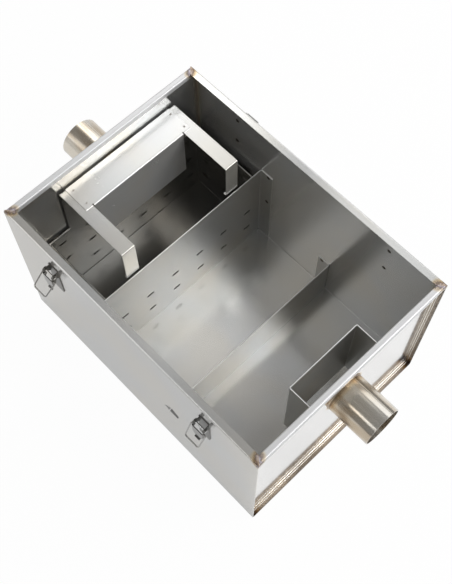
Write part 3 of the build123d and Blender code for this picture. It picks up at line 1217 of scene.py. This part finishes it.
@dataclass
class WallMark:
    """The plain two-tone printed mark on the near wall: a slanted dark part with a grey tail."""

    left: float = 67.0 * MM
    join: float = 76.5 * MM
    right: float = 94.0 * MM
    foot: float = 137.0 * MM
    left_height: float = 22.0 * MM
    right_height: float = 12.5 * MM
    slant: float = 0.25
    thickness: float = 0.15 * MM
    corner: float = 1.2 * MM

    def build(self) -> None:
        """Builds the mark with rounded corners."""
        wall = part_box("tank_wrap")[0].y
        mesh = bmesh.new()
        corners = [mesh.verts.new((x, wall, z)) for x, z in self._outline()]
        mesh.faces.new(corners)
        bmesh.ops.bevel(mesh, geom=corners, offset=self.corner, segments=3, affect="VERTICES")
        face = mesh.faces[:][0]
        pushed = bmesh.ops.extrude_face_region(mesh, geom=[face])
        verts = [item for item in pushed["geom"] if isinstance(item, bmesh.types.BMVert)]
        bmesh.ops.translate(mesh, vec=(0.0, -self.thickness, 0.0), verts=verts)
        bmesh.ops.recalc_face_normals(mesh, faces=mesh.faces)
        data = bpy.data.meshes.new("wall_mark")
        mesh.to_mesh(data)
        mesh.free()
        data.materials.append(PrintedFilm("wall_mark_print", self.join, self.foot, self.slant).material())
        made = bpy.data.objects.new("wall_mark", data)
        bpy.context.scene.collection.objects.link(made)
        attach(made, "tank")
        LOG.info("built wall_mark")

    def _outline(self) -> list[tuple[float, float]]:
        """The mark's outline.

        Returns:
            Points of X and Z in order.
        """
        lean = self.slant * self.left_height
        return [
            (self.left, self.foot + 0.3 * self.left_height),
            (self.join, self.foot),
            (self.right, self.foot),
            (self.right + self.slant * self.right_height, self.foot + self.right_height),
            (self.join + lean, self.foot + self.left_height),
        ]


@dataclass(frozen=True)
class Softbox:
    """One square softbox, hung round the tank and aimed at its middle."""

    name: str
    azimuth: float
    elevation: float
    level: float
    side: float = 1.25
    distance: float = 2.6
    aim: Point = (0.0, 0.0, 0.15)

    def build(self) -> None:
        """Hangs the lamp."""
        turn, rise = math.radians(self.azimuth), math.radians(self.elevation)
        way = Vector((math.cos(rise) * math.cos(turn), math.cos(rise) * math.sin(turn), math.sin(rise)))
        lamp = bpy.data.lights.new(self.name, "AREA")
        lamp.shape = "SQUARE"
        lamp.size = self.side
        lamp.energy = self.level * math.pi * self.side**2
        made = bpy.data.objects.new(self.name, lamp)
        bpy.context.scene.collection.objects.link(made)
        made.location = Vector(self.aim) + way * self.distance
        made.rotation_euler = (-way).to_track_quat("-Z", "Y").to_euler()


SOFTBOXES = (
    Softbox("key", 30.0, 38.0, 4.1),
    Softbox("key_side", 0.0, 38.0, 1.7),
    Softbox("far_outlet", 60.0, 38.0, 1.8),
    Softbox("far", 90.0, 38.0, 1.0),
    Softbox("far_inlet", 120.0, 38.0, 0.9),
    Softbox("inlet", 150.0, 38.0, 1.3),
    Softbox("near", 240.0, 38.0, 1.0),
    Softbox("near_glint", 263.0, 41.0, 2.2, 0.5),
    Softbox("near_low", 240.0, 12.0, 0.4),
    Softbox("far_low", 120.0, 12.0, 0.5),
    Softbox("inlet_low", 180.0, 12.0, 0.4),
    Softbox("key_top", 40.0, 58.5, 1.7, 0.42),
    Softbox("top_outlet", 42.0, 66.8, 5.0, 0.6),
    Softbox("top_inlet", 143.0, 53.5, 1.45, 0.68),
    Softbox("top_middle", 142.0, 68.0, 1.0, 0.42),
    Softbox("top_far", 108.0, 60.0, 0.85, 0.62),
    Softbox("top_near", 228.0, 64.0, 0.4, 1.0),
)


@dataclass
class Studio:
    """Floor, lamps, sky and camera."""

    floor_half: float = 4.0
    floor_gap: float = 0.3 * MM
    sky: float = 0.21
    lens: float = 59.79
    eye: Point = (0.44287, -0.41141, 1.46879)
    right: Point = (0.693311, 0.720628, -0.003810)
    up: Point = (-0.653696, 0.631123, 0.417571)
    back: Point = (0.303318, -0.287016, 0.908636)

    def build(self) -> None:
        """Sets the whole studio up."""
        self._floor()
        self._sky()
        self._camera()
        for lamp in SOFTBOXES:
            lamp.build()
            LOG.info("lamp %s", lamp.name)
        bpy.context.scene.view_settings.view_transform = "Standard"

    def _floor(self) -> None:
        """Lays the floor just under the tank."""
        mesh = bpy.data.meshes.new("floor")
        half = self.floor_half
        low = -self.floor_gap
        corners = [(-half, -half, low), (half, -half, low), (half, half, low), (-half, half, low)]
        mesh.from_pydata(corners, [], [(0, 1, 2, 3)])
        mesh.materials.append(Paper().material())
        floor = bpy.data.objects.new("floor", mesh)
        bpy.context.scene.collection.objects.link(floor)

    def _sky(self) -> None:
        """Lights the world evenly and shows it white to the camera."""
        world = bpy.data.worlds.new("studio")
        bpy.context.scene.world = world
        world.use_nodes = True
        graph = Graph(world.node_tree)
        camera = graph.node("ShaderNodeLightPath", output="Is Camera Ray")
        through = graph.other(camera, "Is Transmission Ray")
        in_metal = graph.other(camera, "Is Glossy Ray") * self.sky
        strength = camera.most(through).most(in_metal).most(self.sky)
        sockets = {"Color": (1.0, 1.0, 1.0, 1.0), "Strength": strength}
        background = graph.node("ShaderNodeBackground", None, sockets)
        graph.node("ShaderNodeOutputWorld", None, {"Surface": background})

    def _camera(self) -> None:
        """Stands the camera at the photograph's place."""
        data = bpy.data.cameras.new("camera")
        data.sensor_width = 36.0
        data.lens = self.lens
        data.clip_end = 50.0
        camera = bpy.data.objects.new("camera", data)
        bpy.context.scene.collection.objects.link(camera)
        turned = Matrix((self.right, self.up, self.back)).transposed().to_4x4()
        camera.matrix_world = Matrix.Translation(self.eye) @ turned
        bpy.context.scene.camera = camera


def main() -> None:
    """Builds the looks piece by piece."""
    logging.basicConfig(level=logging.INFO, format="%(name)s: %(message)s")
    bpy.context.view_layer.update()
    Studio().build()
    workshop = Workshop()
    for part in (Shell(), Pipes(), Baffles(), Basket(), Latches()):
        part.build(workshop)
        part.dress()
        LOG.info("finished %s", type(part).__name__)
    WallMark().build()


if __name__ == "__main__":
    main()
